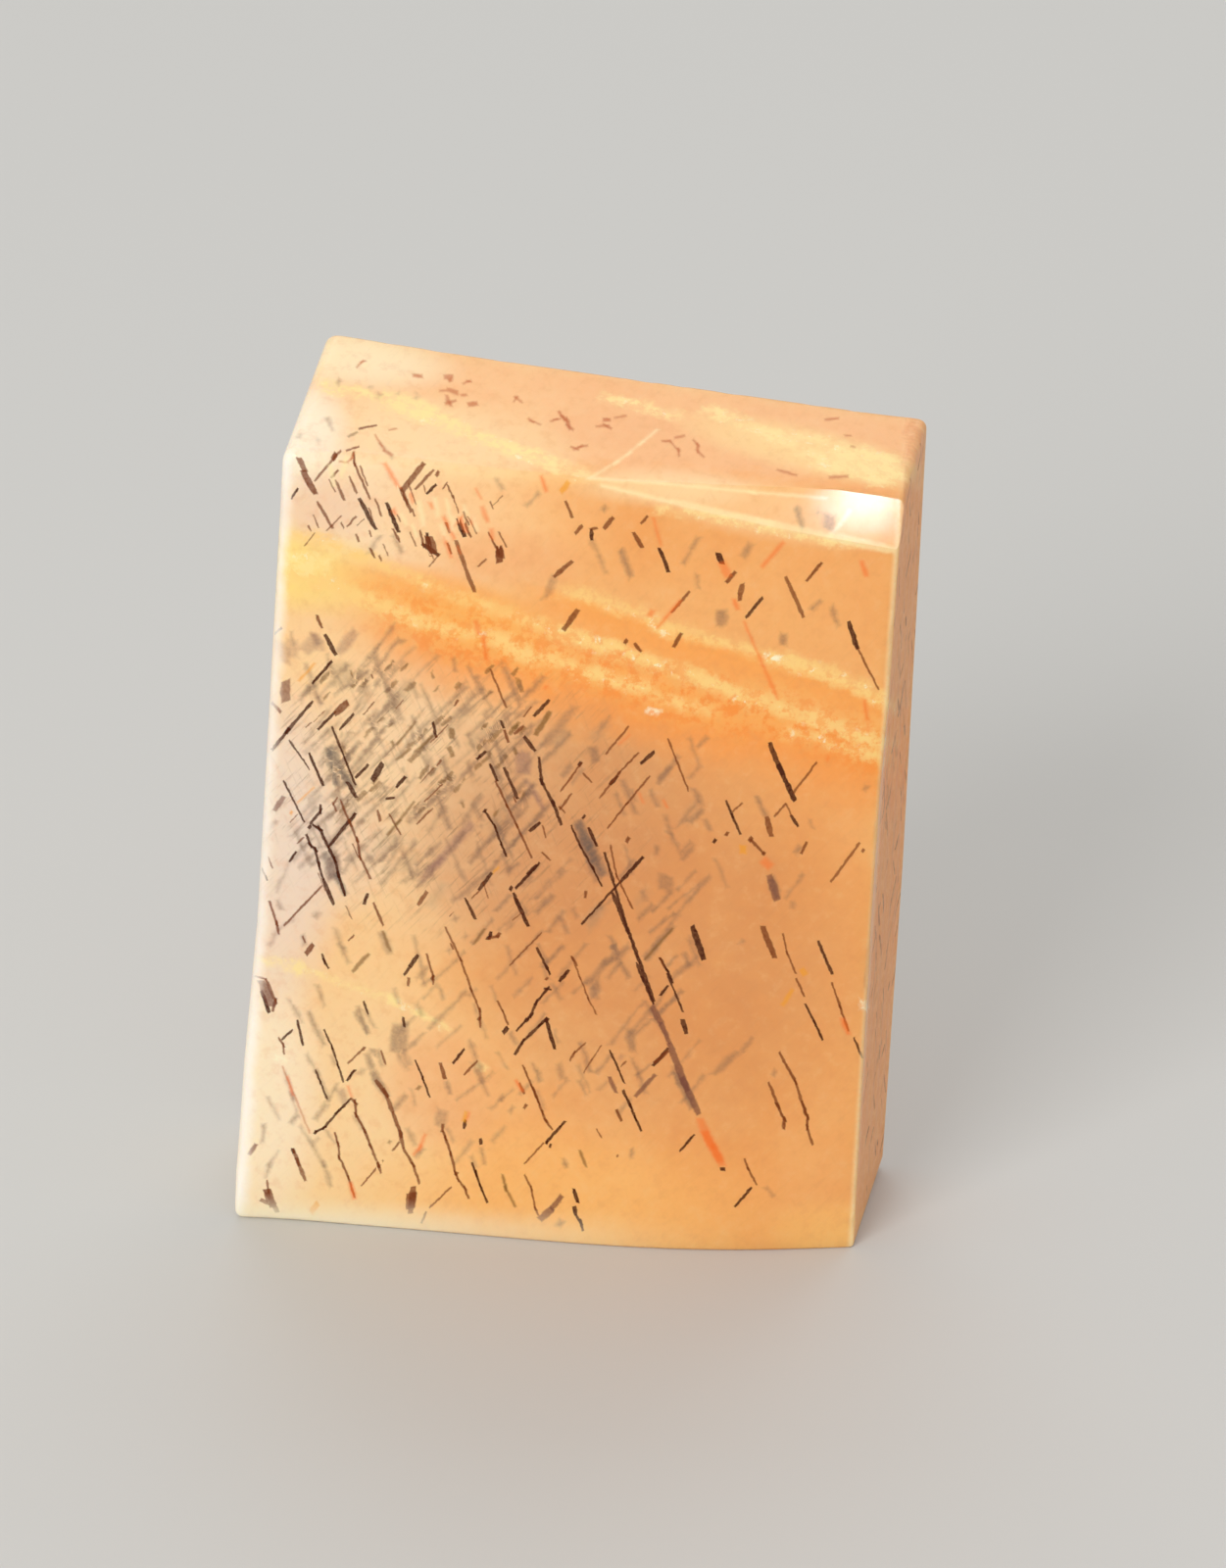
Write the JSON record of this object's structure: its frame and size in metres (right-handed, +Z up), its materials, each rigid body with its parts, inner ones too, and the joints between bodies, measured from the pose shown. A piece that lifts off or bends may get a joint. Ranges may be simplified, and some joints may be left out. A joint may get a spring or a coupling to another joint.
{
  "type": "polished sunstone slab",
  "caption": "Polished upright slab of peach feldspar with a dark crossed blade lattice and pale cloudy bands.",
  "frame": {"origin": "centre of the bounding box in X and Y, on the flat base the slab stands on", "axes": "+Z up the slab from its base, -Y out of the domed polished front, +X to the right seen from the front"},
  "size_m": [0.0198, 0.0064, 0.0269],
  "materials": {
    "feldspar": "polished"
  },
  "bodies": {
    "root": {"sunstone_slab": "feldspar"}
  },
  "joints": []
}
